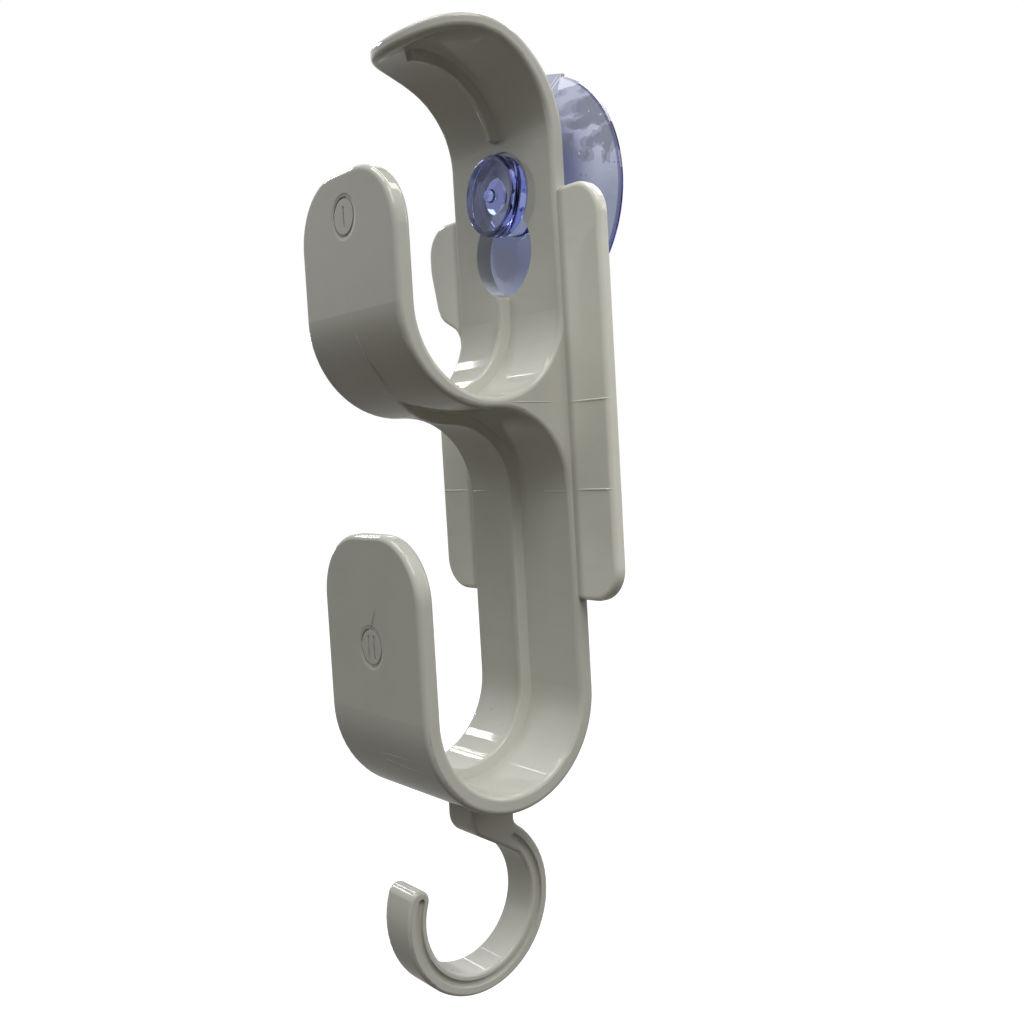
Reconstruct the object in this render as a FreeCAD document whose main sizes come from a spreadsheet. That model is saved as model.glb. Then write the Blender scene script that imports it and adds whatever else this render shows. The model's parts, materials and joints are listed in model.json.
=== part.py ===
import FreeCAD, Part
import math
import os

import Sketcher

# Hose hanger: a moulded strip that bends into a roof, two open hooks and a small C hook,
# held to a smooth wall by a suction cup whose head sits in a keyhole.
# Origin: the suction cup's axis, where it meets the wall. The wall is the plane Y = 0,
# the hooks stand out towards -Y and +Z points up. All sizes are millimetres and degrees.

SIZES = {
    "strip_width": 37.0,
    "strip_wall": 4.1,
    "wall_gap": 8.3,
    "bend_radius": 19.05,
    "edge_round": 1.2,
    # roof over the suction cup's head
    "roof_height": 9.0,
    "roof_inner_radius": 19.7,
    "roof_crown_wall": 3.5,
    "roof_reach": 41.9,
    "roof_spare_turn": 8.0,
    # upper hook
    "upper_hook_drop": 28.6,
    "upper_floor_wall": 2.6,
    "upper_corner_wall": 2.65,
    "return_inset": 0.35,
    "upper_tip_height": 0.6,
    "tip_corner_radius": 14.0,
    # lower hook
    "lower_hook_drop": 113.5,
    "lower_tip_drop": 75.1,
    # flanges of the back plate
    "flange_reach": 12.6,
    "flange_wall": 3.2,
    "flange_top_drop": 2.2,
    "flange_bottom_drop": 93.3,
    "flange_corner_radius": 7.5,
    "flange_edge_round": 1.2,
    "flange_back_round": 1.0,
    "notch_top_drop": 29.5,
    "notch_bottom_drop": 46.9,
    "notch_floor": 1.9,
    "notch_floor_radius": 4.5,
    "notch_flat": 0.2,
    # the ear above the notch narrows towards its lip
    "ear_slant_drop": 13.2,
    "ear_slant_round": 9.0,
    "ear_lip_drop": 25.1,
    "ear_lip_inset": 2.6,
    # keyhole, with a shallow round seat for the head about the top of its slot
    "hole_drop": 13.55,
    "head_clearance": 0.85,
    "seat_depth": 0.7,
    "neck_clearance": 0.3,
    # stiffening ribs
    "rib_crest_width": 1.3,
    "rib_height": 2.4,
    "rib_side_run": 0.65,
    "rib_edge_round": 0.3,
    "rib_root": 0.6,
    "roof_rib_turn": 102.0,
    "roof_rib_foot": 2.6,
    "rib_end_gap": 0.4,
    "inner_rib_turn": 150.0,
    "outer_rib_lead_radius": 18.0,
    "outer_rib_lead_turn": 54.0,
    "rib_overlap": 1.0,
    # small C hook
    "small_width": 9.4,
    "small_inner_radius": 14.7,
    "small_wall": 4.9,
    "small_front": 33.2,
    "small_drop": 160.8,
    "small_tip_angle": 160.0,
    "small_edge_round": 0.8,
    "neck_front_reach": 1.1,
    "neck_back_reach": 10.8,
    "neck_corner_radius": 5.0,
    "neck_foot_angle": 38.6,
    "neck_slant": 20.0,
    "neck_back_radius": 2.5,
    "groove_depth": 0.9,
    "groove_width": 1.7,
    "groove_inner_lip": 1.3,
    "groove_start_angle": 52.0,
    # marks on the hook fronts
    "mark_radius": 4.2,
    "mark_line": 0.55,
    "mark_depth": 0.35,
    "mark_one_drop": 8.9,
    "mark_two_drop": 99.1,
    "mark_one_bar": 4.4,
    "mark_two_bar": 5.2,
    "mark_bar_pitch": 2.2,
    # suction cup: the load pulls its head and neck down a little from the middle of the cup
    "neck_sag": 0.65,
    "head_radius": 9.2,
    "head_wall": 4.2,
    "head_dish": 0.9,
    "head_dish_radius": 4.6,
    "head_rim_round": 1.2,
    "head_back_round": 0.5,
    "nipple_radius": 1.6,
    "nipple_tip_radius": 1.0,
    "nipple_height": 1.4,
    "neck_radius": 4.2,
    "seat_clearance": 0.1,
    "hub_radius": 9.0,
    "hub_wall": 1.8,
    "hub_fillet": 1.2,
    "cup_radius": 27.7,
    "cup_rim_wall": 0.8,
    "cup_crown_wall": 3.4,
    "cup_bow": 1.1,
    # the tongue on the cup's rim, by which it is peeled off the wall
    "tongue_turn": 13.0,
    "tongue_width": 9.0,
    "tongue_reach": 0.25,
    "tongue_wall": 0.95,
    # how far a cutting tool runs past the faces that it cuts
    "cut_spare": 1.0,
}

# two faces that turn by less than this cosine from one to the other meet without an edge
SMOOTH = 0.95
# a place or volume that differs by less than this counts as the same
SAME = 0.01
# once round, in degrees
FULL_TURN = 360

WORDS_OF_PLANES = {"side": "YZ_Plane", "front": "XZ_Plane", "top": "XY_Plane"}


def make_sheet(doc):
    """Write every size into its own named cell."""
    sheet = doc.addObject("Spreadsheet::Sheet", "sizes")
    for row, (name, value) in enumerate(SIZES.items(), start=1):
        sheet.set("A%d" % row, name)
        sheet.set("B%d" % row, str(value))
        sheet.setAlias("B%d" % row, name)
    doc.recompute()
    return sheet


class Sizes:
    """The sheet's cells as attributes."""

    def __init__(self, sheet):
        for name in SIZES:
            setattr(self, name, float(sheet.get(name)))


def polar(centre, radius, degrees):
    angle = math.radians(degrees)
    return (centre[0] + radius * math.cos(angle), centre[1] + radius * math.sin(angle))


def line(start, end):
    return ("line", start, end)


def arc(centre, radius, start, end):
    """An arc given by its angles in degrees; it runs clockwise where end < start."""
    return ("arc", centre, radius, start, end)


def bow(start, end, rise):
    """An arc from start to end that stands off the straight line by rise, to its left."""
    half = math.dist(start, end) / 2
    radius = (half ** 2 + rise ** 2) / (2 * rise)
    along = math.atan2(end[1] - start[1], end[0] - start[0])
    depth = radius - rise
    middle = ((start[0] + end[0]) / 2, (start[1] + end[1]) / 2)
    centre = (middle[0] + depth * math.sin(along), middle[1] - depth * math.cos(along))
    first = math.degrees(math.atan2(start[1] - centre[1], start[0] - centre[0]))
    turn = 2 * math.degrees(math.asin(half / radius))
    return arc(centre, radius, first, first - turn)


def arc_back(step):
    """The same arc, drawn from its end to its start."""
    kind, centre, radius, start, end = step
    return (kind, centre, radius, end, start)


def new_body(doc, name):
    body = doc.addObject("PartDesign::Body", name)
    body.Label = name
    return body


def new_sketch(body, name, plane, offset=None):
    """A sketch on one of the body's own origin planes, moved along its normal."""
    role = WORDS_OF_PLANES[plane]
    support = next(item for item in body.Origin.OriginFeatures if item.Role == role)
    sketch = body.newObject("Sketcher::SketchObject", name)
    sketch.AttachmentSupport = (support, [""])
    sketch.MapMode = "FlatFace"
    if offset is not None:
        sketch.setExpression("AttachmentOffset.Base.z", offset)
    return sketch


def draw(sketch, steps, bound=None, closed=True):
    """Add one outline or open line; bound ties the radius of a step to a named size."""
    bound = bound or {}
    first = sketch.GeometryCount
    ends = []
    for step in steps:
        if step[0] == "line":
            start = FreeCAD.Vector(step[1][0], step[1][1], 0)
            end = FreeCAD.Vector(step[2][0], step[2][1], 0)
            sketch.addGeometry(Part.LineSegment(start, end), False)
            ends.append((1, 2))
        else:
            _, centre, radius, start, end = step
            circle = Part.Circle(FreeCAD.Vector(centre[0], centre[1], 0), FreeCAD.Vector(0, 0, 1), radius)
            low, high = sorted((start, end))
            sketch.addGeometry(Part.ArcOfCircle(circle, math.radians(low), math.radians(high)), False)
            ends.append((1, 2) if start < end else (2, 1))
    count = len(steps)
    for index in range(count if closed else count - 1):
        after = (index + 1) % count
        joint = (first + index, ends[index][1], first + after, ends[after][0])
        sketch.addConstraint(Sketcher.Constraint("Coincident", *joint))
    for index, formula in bound.items():
        radius = steps[index][2]
        number = sketch.addConstraint(Sketcher.Constraint("Radius", first + index, radius))
        sketch.setExpression("Constraints[%d]" % number, formula)


def draw_circle(sketch, centre, radius, formula):
    circle = Part.Circle(FreeCAD.Vector(centre[0], centre[1], 0), FreeCAD.Vector(0, 0, 1), radius)
    index = sketch.addGeometry(circle, False)
    number = sketch.addConstraint(Sketcher.Constraint("Radius", index, radius))
    sketch.setExpression("Constraints[%d]" % number, formula)


def polygon(corners):
    """Straight lines round the corners, back to the first."""
    return [line(corners[number - 1], corners[number]) for number in range(len(corners))]


def rectangle(left, bottom, right, top):
    return polygon([(left, bottom), (right, bottom), (right, top), (left, top)])


def pad(body, sketch, length, symmetric=False):
    feature = body.newObject("PartDesign::Pad", sketch.Name + "_pad")
    feature.Profile = sketch
    feature.setExpression("Length", length)
    if symmetric:
        feature.Midplane = True
    sketch.Visibility = False
    body.Document.recompute()
    return feature


def pocket(body, sketch, length, turned=False):
    """A cut against the sketch's normal, or along it where turned, with its volume checked."""
    before = body.Shape.Volume
    feature = body.newObject("PartDesign::Pocket", sketch.Name + "_cut")
    feature.Profile = sketch
    feature.setExpression("Length", length)
    feature.Reversed = turned
    body.Document.recompute()
    if body.Shape.Volume > before - SAME:
        raise RuntimeError("%s cut nothing" % sketch.Name)
    return feature


def is_sharp(shape, edge):
    """True where the two faces beside an edge meet at an angle."""
    faces = shape.ancestorsOfType(edge, Part.Face)
    if len(faces) != 2:
        return False
    middle = edge.valueAt((edge.FirstParameter + edge.LastParameter) / 2)
    normals = []
    for face in faces:
        u, v = face.Surface.parameter(middle)
        normals.append(face.normalAt(u, v))
    return normals[0].dot(normals[1]) < SMOOTH


def round_edges(body, radius, wanted=None, name="round"):
    """Round every sharp edge of the body that the wanted rule accepts."""
    base = body.Tip
    shape = base.Shape
    names = []
    for number, edge in enumerate(shape.Edges, start=1):
        if is_sharp(shape, edge) and (wanted is None or wanted(edge)):
            names.append("Edge%d" % number)
    feature = body.newObject("PartDesign::Fillet", body.Name + "_" + name)
    feature.Base = (base, names)
    feature.setExpression("Radius", radius)
    body.Document.recompute()
    return feature


def strip_places(s):
    """Places along the strip's side view that several pieces share."""
    places = {}
    places["back"] = -s.wall_gap
    places["front"] = -s.wall_gap - s.strip_wall
    places["bend"] = places["front"] - s.bend_radius
    places["tip_back"] = places["front"] - 2 * s.bend_radius
    places["tip_front"] = places["tip_back"] - s.strip_wall
    places["floor_top"] = -s.upper_hook_drop - s.bend_radius
    places["floor_bottom"] = places["floor_top"] - s.upper_floor_wall
    corner = s.bend_radius + s.upper_corner_wall
    places["upper_outer_radius"] = corner
    places["upper_outer"] = (places["tip_front"] + corner, places["floor_bottom"] + corner)
    back_turn = s.bend_radius - s.return_inset
    places["return_radius"] = back_turn
    places["return"] = (places["front"] - back_turn, places["floor_bottom"] - back_turn)
    places["upper_bend"] = (places["bend"], -s.upper_hook_drop)
    places["lower_bend"] = (places["bend"], -s.lower_hook_drop)
    places["roof_inner"] = (places["front"] - s.roof_inner_radius, s.roof_height)
    places["roof_outer_radius"] = s.roof_inner_radius + s.roof_crown_wall
    places["roof_outer"] = (places["back"] - places["roof_outer_radius"], s.roof_height)
    places["lower_outer_radius"] = s.bend_radius + s.strip_wall
    # the roof bends on past its tip, which is then cut round from above
    past_top = (s.roof_reach + places["roof_inner"][0]) / s.roof_inner_radius
    places["roof_turn"] = 90 + math.degrees(math.asin(past_top)) + s.roof_spare_turn
    return places


def strip_outlines(s, at):
    """Side views: the strip from roof to lower hook, and the upper hook in front of it."""
    turn = at["roof_turn"]
    inner_end = polar(at["roof_inner"], s.roof_inner_radius, turn)
    outer_end = polar(at["roof_outer"], at["roof_outer_radius"], turn)
    lower = at["lower_bend"]
    outer = at["lower_outer_radius"]
    back_foot = (at["back"], lower[1])
    long_strip = [
        line((at["back"], s.roof_height), back_foot),
        arc(lower, outer, 0, -180),
        line((at["tip_front"], lower[1]), (at["tip_front"], -s.lower_tip_drop)),
        line((at["tip_front"], -s.lower_tip_drop), (at["tip_back"], -s.lower_tip_drop)),
        line((at["tip_back"], -s.lower_tip_drop), (at["tip_back"], lower[1])),
        arc(lower, s.bend_radius, -180, 0),
        line((at["front"], lower[1]), (at["front"], at["return"][1])),
        arc(at["return"], at["return_radius"], 0, 90),
        line((at["return"][0], at["floor_bottom"]), (at["upper_outer"][0], at["floor_bottom"])),
        arc(at["upper_outer"], at["upper_outer_radius"], -90, -180),
        line((at["tip_front"], at["upper_outer"][1]), (at["tip_front"], s.upper_tip_height)),
        line((at["tip_front"], s.upper_tip_height), (at["tip_back"], s.upper_tip_height)),
        line((at["tip_back"], s.upper_tip_height), (at["tip_back"], -s.upper_hook_drop)),
        arc(at["upper_bend"], s.bend_radius, -180, 0),
        line((at["front"], -s.upper_hook_drop), (at["front"], s.roof_height)),
        arc(at["roof_inner"], s.roof_inner_radius, 0, turn),
        line(inner_end, outer_end),
        arc(at["roof_outer"], at["roof_outer_radius"], turn, 0),
    ]
    bound = {1: "sizes.bend_radius + sizes.strip_wall", 5: "sizes.bend_radius",
             7: "sizes.bend_radius - sizes.return_inset",
             9: "sizes.bend_radius + sizes.upper_corner_wall", 13: "sizes.bend_radius",
             15: "sizes.roof_inner_radius", 17: "sizes.roof_inner_radius + sizes.roof_crown_wall"}
    return long_strip, bound


def corner_cut(side, half_width, top, radius, spare):
    """The waste outside one rounded upper corner, seen from the front."""
    edge = side * half_width
    centre = (edge - side * radius, top - radius)
    turn = (0, 90) if side > 0 else (180, 90)
    start, end = polar(centre, radius, turn[0]), polar(centre, radius, turn[1])
    far = edge + side * spare
    return [
        arc(centre, radius, turn[0], turn[1]),
        line(end, (end[0], top + spare)),
        line((end[0], top + spare), (far, top + spare)),
        line((far, top + spare), (far, start[1])),
        line((far, start[1]), start),
    ]


def make_strip(doc, s, at):
    """The strip with its roof and both hooks, all edges rounded."""
    body = new_body(doc, "strip")
    steps, bound = strip_outlines(s, at)
    side = new_sketch(body, "strip_side", "side")
    draw(side, steps, bound)
    pad(body, side, "sizes.strip_width", symmetric=True)
    spare = s.cut_spare
    half = s.strip_width / 2
    for name, height in (("upper_tip", s.upper_tip_height), ("lower_tip", -s.lower_tip_drop)):
        face = "sizes.wall_gap + 2 * sizes.strip_wall + 2 * sizes.bend_radius + sizes.cut_spare"
        front = new_sketch(body, name, "front", face)
        for side_sign in (-1, 1):
            draw(front, corner_cut(side_sign, half, height, s.tip_corner_radius, spare),
                 {0: "sizes.tip_corner_radius"})
        pocket(body, front, "sizes.strip_wall + 2 * sizes.cut_spare")
    crown = "sizes.roof_inner_radius + sizes.roof_crown_wall"
    top = new_sketch(body, "roof_tip", "top", "sizes.roof_height + %s + sizes.cut_spare" % crown)
    centre = (0, -s.roof_reach + half)
    far = -s.roof_reach - at["roof_outer_radius"]
    draw(top, [
        arc(centre, half, FULL_TURN / 2, FULL_TURN),
        line((half, centre[1]), (half + spare, centre[1])),
        line((half + spare, centre[1]), (half + spare, far)),
        line((half + spare, far), (-half - spare, far)),
        line((-half - spare, far), (-half - spare, centre[1])),
        line((-half - spare, centre[1]), (-half, centre[1])),
    ], {0: "sizes.strip_width / 2"})
    pocket(body, top, crown)
    round_edges(body, "sizes.edge_round")
    return body


def total(s, formula):
    """The value of a formula that adds and takes away named sizes."""
    value = 0
    sign = 1
    for word in formula.split():
        if word in "+-":
            sign = 1 if word == "+" else -1
        else:
            value += sign * getattr(s, word.removeprefix("sizes."))
    return value


def rounded(s, corners):
    """A closed outline through the corners, each rounded by the sum of sizes given beside it."""
    steps = []
    bound = {}
    tangents = []
    count = len(corners)
    for number, (x, y, formula) in enumerate(corners):
        radius = total(s, formula)
        before = corners[number - 1]
        after = corners[(number + 1) % count]
        way_in = math.atan2(y - before[1], x - before[0])
        way_out = math.atan2(after[1] - y, after[0] - x)
        turn = (way_out - way_in + math.pi) % (2 * math.pi) - math.pi
        side = math.copysign(1, turn)
        reach = radius * math.tan(abs(turn) / 2)
        start = (x - reach * math.cos(way_in), y - reach * math.sin(way_in))
        centre = (start[0] - side * radius * math.sin(way_in), start[1] + side * radius * math.cos(way_in))
        first = math.degrees(way_in - side * math.pi / 2)
        round_step = arc(centre, radius, first, first + math.degrees(turn))
        tangents.append((start, polar(centre, radius, round_step[4])))
        bound[2 * number] = formula
        steps.append(round_step)
    outline = []
    for number, step in enumerate(steps):
        outline.append(step)
        outline.append(line(tangents[number][1], tangents[(number + 1) % count][0]))
    return outline, bound


def make_flanges(doc, s, at):
    """The wide back plate behind the strip, with the notch beside the upper hook."""
    body = new_body(doc, "flanges")
    half = s.strip_width / 2 + s.flange_reach
    top = -s.flange_top_drop
    bottom = -s.flange_bottom_drop
    corner = "sizes.flange_corner_radius"
    floor = -s.strip_width / 2 - s.notch_floor
    floor_corner = "sizes.notch_floor_radius"
    mouth = "sizes.flange_reach - sizes.notch_floor - sizes.notch_floor_radius - sizes.notch_flat"
    steps, bound = rounded(s, [
        (-half, top, corner),
        (half, top, corner),
        (half, bottom, corner),
        (-half, bottom, corner),
        (-half, -s.notch_bottom_drop, mouth),
        (floor, -s.notch_bottom_drop, floor_corner),
        (floor, -s.notch_top_drop, floor_corner),
        (s.ear_lip_inset - half, -s.ear_lip_drop, mouth),
        (-half, -s.ear_slant_drop, "sizes.ear_slant_round"),
    ])
    face = new_sketch(body, "flange_face", "front", "sizes.wall_gap")
    draw(face, steps, bound)
    pad(body, face, "sizes.flange_wall")
    front = at["back"] - s.flange_wall
    round_edges(body, "sizes.flange_edge_round",
                lambda edge: abs(edge.CenterOfMass.y - front) < SAME)
    round_edges(body, "sizes.flange_back_round",
                lambda edge: abs(edge.CenterOfMass.y - at["back"]) < SAME, name="back_round")
    return body


def make_small_hook(doc, s, at):
    """The small C hook under the lower hook, with a groove along both of its sides."""
    body = new_body(doc, "small_hook")
    centre = (-s.small_front, -s.small_drop)
    inner = s.small_inner_radius
    outer = inner + s.small_wall
    root = at["lower_bend"][1] - at["lower_outer_radius"] + s.strip_wall / 2
    neck_front = centre[0] - s.neck_front_reach
    neck_back = centre[0] + s.neck_back_reach
    foot = polar(centre, inner, s.neck_foot_angle)
    # the slanted underside of the neck is tangent to its rounded front corner
    corner = s.neck_corner_radius
    slant = math.radians(90 - s.neck_foot_angle - s.neck_slant)
    corner_x = neck_front + corner
    reach = foot[0] - corner_x
    corner_z = foot[1] + (reach * math.sin(slant) + corner) / math.cos(slant)
    slant_angle = 270 - math.degrees(slant)
    slant_start = polar((corner_x, corner_z), corner, slant_angle)
    # the back of the neck runs into the outer arc through a small hollow round
    hollow = s.neck_back_radius
    hollow_x = neck_back + hollow
    hollow_z = centre[1] + math.sqrt((outer + hollow) ** 2 - (hollow_x - centre[0]) ** 2)
    join = math.degrees(math.atan2(hollow_z - centre[1], hollow_x - centre[0]))
    tip = s.small_tip_angle
    tip_middle = polar(centre, inner + s.small_wall / 2, tip)
    side = new_sketch(body, "small_side", "side")
    draw(side, [
        line((neck_back, root), (neck_front, root)),
        line((neck_front, root), (neck_front, corner_z)),
        arc((corner_x, corner_z), corner, 180, slant_angle),
        line(slant_start, foot),
        arc(centre, inner, s.neck_foot_angle, tip - FULL_TURN),
        arc(tip_middle, s.small_wall / 2, tip - 180, tip),
        arc(centre, outer, tip - FULL_TURN, join),
        arc((hollow_x, hollow_z), hollow, join + 180, 180),
        line((neck_back, hollow_z), (neck_back, root)),
    ], {2: "sizes.neck_corner_radius", 4: "sizes.small_inner_radius", 5: "sizes.small_wall / 2",
        6: "sizes.small_inner_radius + sizes.small_wall", 7: "sizes.neck_back_radius"})
    pad(body, side, "sizes.small_width", symmetric=True)
    round_edges(body, "sizes.small_edge_round", lambda edge: edge.CenterOfMass.z < root - SAME)
    # grooves: a band along the middle of each side, from the neck round to the tip
    groove_in = inner + s.groove_inner_lip
    groove_out = groove_in + s.groove_width
    middle = (groove_in + groove_out) / 2
    half = s.groove_width / 2
    start = s.groove_start_angle
    stop = tip - FULL_TURN
    for name, flip in (("groove_left", -1), ("groove_right", 1)):
        sketch = new_sketch(body, name, "side", "%d * sizes.small_width / 2" % flip)
        draw(sketch, [
            arc(centre, groove_in, start, stop),
            arc(polar(centre, middle, stop), half, stop + FULL_TURN / 2, stop + FULL_TURN),
            arc(centre, groove_out, stop, start),
            arc(polar(centre, middle, start), half, start, start + 180),
        ], {0: "sizes.small_inner_radius + sizes.groove_inner_lip"})
        pocket(body, sketch, "sizes.groove_depth", turned=flip < 0)
    return body


def rib_body(doc, s, name, crest, crest_place, height):
    """One rib: a section with sloping sides, carried along the line of its crest."""
    body = new_body(doc, name)
    way = new_sketch(body, name + "_crest", "side")
    draw(way, crest, closed=False)
    section = new_sketch(body, name + "_section", "top", height)
    half = s.rib_crest_width / 2
    depth = s.rib_height + s.rib_root
    foot = half + s.rib_side_run * depth / s.rib_height
    draw(section, polygon([(-half, crest_place), (half, crest_place),
                           (foot, crest_place + depth), (-foot, crest_place + depth)]))
    sweep = body.newObject("PartDesign::AdditivePipe", name + "_sweep")
    sweep.Profile = section
    sweep.Spine = (way, [])
    sweep.Mode = "Binormal"
    sweep.Binormal = FreeCAD.Vector(1, 0, 0)
    for sketch in (way, section):
        sketch.Visibility = False
    doc.recompute()
    round_edges(body, "sizes.rib_edge_round")
    return body


def make_ribs(doc, s, at):
    """The ribs down the middle: under the roof, inside the upper hook, and down the lower strip."""
    rise = s.rib_height
    roof = at["roof_inner"]
    radius = s.roof_inner_radius - rise
    foot = math.degrees(math.asin(s.roof_rib_foot / radius))
    roof_rib = [arc(roof, radius, foot, s.roof_rib_turn)]
    crest = at["front"] - rise
    bend = s.bend_radius - rise
    upper = at["upper_bend"]
    top = "- sizes.hole_drop - sizes.head_radius - sizes.head_clearance - sizes.rib_end_gap"
    inner_rib = [
        line((crest, total(s, top)), (crest, upper[1])),
        arc(upper, bend, 0, -s.inner_rib_turn),
    ]
    # the rib on the front of the lower strip goes up over the return bend and along the underside of
    # the upper hook, where it sinks into the wall
    back = at["return"]
    lower = at["lower_bend"]
    under = at["floor_bottom"] - rise
    lead = (back[0], under + s.outer_rib_lead_radius)
    strip_start = "- sizes.lower_hook_drop"
    strip_rib = [
        line((crest, total(s, strip_start)), (crest, back[1])),
        arc(back, at["return_radius"] - rise, 0, 90),
        arc(lead, s.outer_rib_lead_radius, -90, -90 - s.outer_rib_lead_turn),
    ]
    # its lower end is taken up by the rib round the inside of the lower hook
    lower_start = "sizes.rib_overlap - sizes.lower_hook_drop"
    lower_rib = [
        line((crest, total(s, lower_start)), (crest, lower[1])),
        arc(lower, bend, 0, -s.inner_rib_turn),
    ]
    roof_foot = "sizes.roof_height + sizes.roof_rib_foot"
    return [rib_body(doc, s, "roof_rib", roof_rib, polar(roof, radius, foot)[0], roof_foot),
            rib_body(doc, s, "inner_rib", inner_rib, crest, top),
            rib_body(doc, s, "strip_rib", strip_rib, crest, strip_start),
            rib_body(doc, s, "lower_rib", lower_rib, crest, lower_start)]


def make_keyhole(doc, s):
    """Tools for the round hole that the cup's head passes, its neck's slot and the head's seat."""
    body = new_body(doc, "keyhole")
    hole = s.head_radius + s.head_clearance
    slot = s.neck_radius + s.neck_clearance
    centre = (0, -s.hole_drop)
    meet = math.degrees(math.acos(slot / hole))
    depth = hole * math.sin(math.radians(meet))
    front = new_sketch(body, "keyhole_face", "front", "sizes.wall_gap - sizes.cut_spare")
    draw(front, [
        line((slot, -s.neck_sag), (slot, centre[1] + depth)),
        arc(centre, hole, meet, -180 - meet),
        line((-slot, centre[1] + depth), (-slot, -s.neck_sag)),
        arc((0, -s.neck_sag), slot, 180, 0),
    ], {1: "sizes.head_radius + sizes.head_clearance", 3: "sizes.neck_radius + sizes.neck_clearance"})
    pad(body, front, "sizes.strip_wall + sizes.rib_height + 2 * sizes.cut_spare")
    seat_body = new_body(doc, "head_seat")
    floor = "sizes.wall_gap + sizes.strip_wall - sizes.seat_depth"
    seat = new_sketch(seat_body, "head_seat_face", "front", floor)
    draw_circle(seat, (0, -s.neck_sag), hole, "sizes.head_radius + sizes.head_clearance")
    pad(seat_body, seat, "sizes.seat_depth + sizes.cut_spare")
    return [body, seat_body]


def make_marks(doc, s):
    """Tools that sink a ring with one or two bars into the fronts of the hooks."""
    depth = "sizes.wall_gap + 2 * sizes.strip_wall + 2 * sizes.bend_radius - sizes.mark_depth"
    bodies = []
    marks = (("mark_one", -s.mark_one_drop, s.mark_one_bar, (0.0,)),
             ("mark_two", -s.mark_two_drop, s.mark_two_bar, (-s.mark_bar_pitch / 2, s.mark_bar_pitch / 2)))
    for name, height, bar, places in marks:
        body = new_body(doc, name)
        face = new_sketch(body, name + "_face", "front", depth)
        draw_circle(face, (0, height), s.mark_radius, "sizes.mark_radius")
        draw_circle(face, (0, height), s.mark_radius - s.mark_line, "sizes.mark_radius - sizes.mark_line")
        for place in places:
            half = s.mark_line / 2
            draw(face, rectangle(place - half, height - bar / 2, place + half, height + bar / 2))
        pad(body, face, "sizes.mark_depth + sizes.cut_spare")
        bodies.append(body)
    return bodies


def make_hanger(doc, s, at):
    """The whole moulding: everything fused, then the keyhole and the marks cut."""
    solids = [make_strip(doc, s, at), make_flanges(doc, s, at), make_small_hook(doc, s, at)]
    solids += make_ribs(doc, s, at)
    whole = doc.addObject("Part::MultiFuse", "moulding")
    whole.Shapes = solids
    whole.Refine = True
    tools = doc.addObject("Part::MultiFuse", "cutting_tools")
    tools.Shapes = make_keyhole(doc, s) + make_marks(doc, s)
    doc.recompute()
    hanger = doc.addObject("Part::Cut", "hanger_body")
    hanger.Base = whole
    hanger.Tool = tools
    hanger.Refine = True
    hanger.Label = "hanger_body"
    doc.recompute()
    return hanger


def turned(body, sketch):
    """The sketch turned once round its own horizontal axis."""
    feature = body.newObject("PartDesign::Revolution", sketch.Name + "_turned")
    feature.Profile = sketch
    feature.ReferenceAxis = (sketch, ["H_Axis"])
    feature.Angle = FULL_TURN
    sketch.Visibility = False
    body.Document.recompute()


def make_cup(doc, s, at):
    """The soft cup: a dished head in front, a neck in the slot and the cup on the wall."""
    body = new_body(doc, "suction_cup")
    head = s.head_radius
    rim = s.head_rim_round
    neck = s.neck_radius
    back_rim = s.head_back_round
    seat = at["front"] + s.seat_depth - s.seat_clearance
    face = seat - s.head_wall
    dish = face + s.head_dish
    nipple_face = dish - s.nipple_height
    shoulder = at["back"] + s.seat_clearance
    hub_end = shoulder + s.hub_wall
    hollow = shoulder + s.cup_crown_wall
    edge = -s.cup_rim_wall
    foot = s.hub_radius + s.hub_fillet
    inner = s.cup_radius - s.cup_rim_wall
    root = (shoulder + hub_end) / 2
    head_side = new_sketch(body, "head_side", "side")
    head_side.setExpression("AttachmentOffset.Base.y", "-sizes.neck_sag")
    draw(head_side, [
        line((nipple_face, 0), (nipple_face, s.nipple_tip_radius)),
        line((nipple_face, s.nipple_tip_radius), (dish, s.nipple_radius)),
        line((dish, s.nipple_radius), (dish, s.head_dish_radius)),
        line((dish, s.head_dish_radius), (face, head - rim)),
        arc((face + rim, head - rim), rim, 180, 90),
        line((face + rim, head), (seat - back_rim, head)),
        arc((seat - back_rim, head - back_rim), back_rim, 90, 0),
        line((seat, head - back_rim), (seat, neck)),
        line((seat, neck), (root, neck)),
        line((root, neck), (root, 0)),
        line((root, 0), (nipple_face, 0)),
    ], {4: "sizes.head_rim_round", 6: "sizes.head_back_round"})
    turned(body, head_side)
    side = new_sketch(body, "cup_side", "side")
    draw(side, [
        line((shoulder, 0), (shoulder, s.hub_radius)),
        line((shoulder, s.hub_radius), (hub_end - s.hub_fillet, s.hub_radius)),
        arc((hub_end - s.hub_fillet, foot), s.hub_fillet, -90, 0),
        bow((hub_end, foot), (edge, s.cup_radius), s.cup_bow),
        line((edge, s.cup_radius), (0, s.cup_radius)),
        line((0, s.cup_radius), (0, inner)),
        arc_back(bow((hollow, neck), (0, inner), s.cup_bow)),
        line((hollow, neck), (hollow, 0)),
        line((hollow, 0), (shoulder, 0)),
    ], {2: "sizes.hub_fillet"})
    turned(body, side)
    # the tongue points up and a little to the right
    up = 90 - s.tongue_turn
    half = s.tongue_width / 2
    low = inner + s.seat_clearance
    high = s.cup_radius + s.tongue_reach
    corners = []
    for reach, side_step in ((low, half), (high, half), (high, -half), (low, -half)):
        corners.append(polar(polar((0, 0), reach, up), side_step, up - 90))
    tongue = new_sketch(body, "tongue", "front")
    draw(tongue, polygon(corners))
    pad(body, tongue, "sizes.tongue_wall")
    return body


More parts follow.
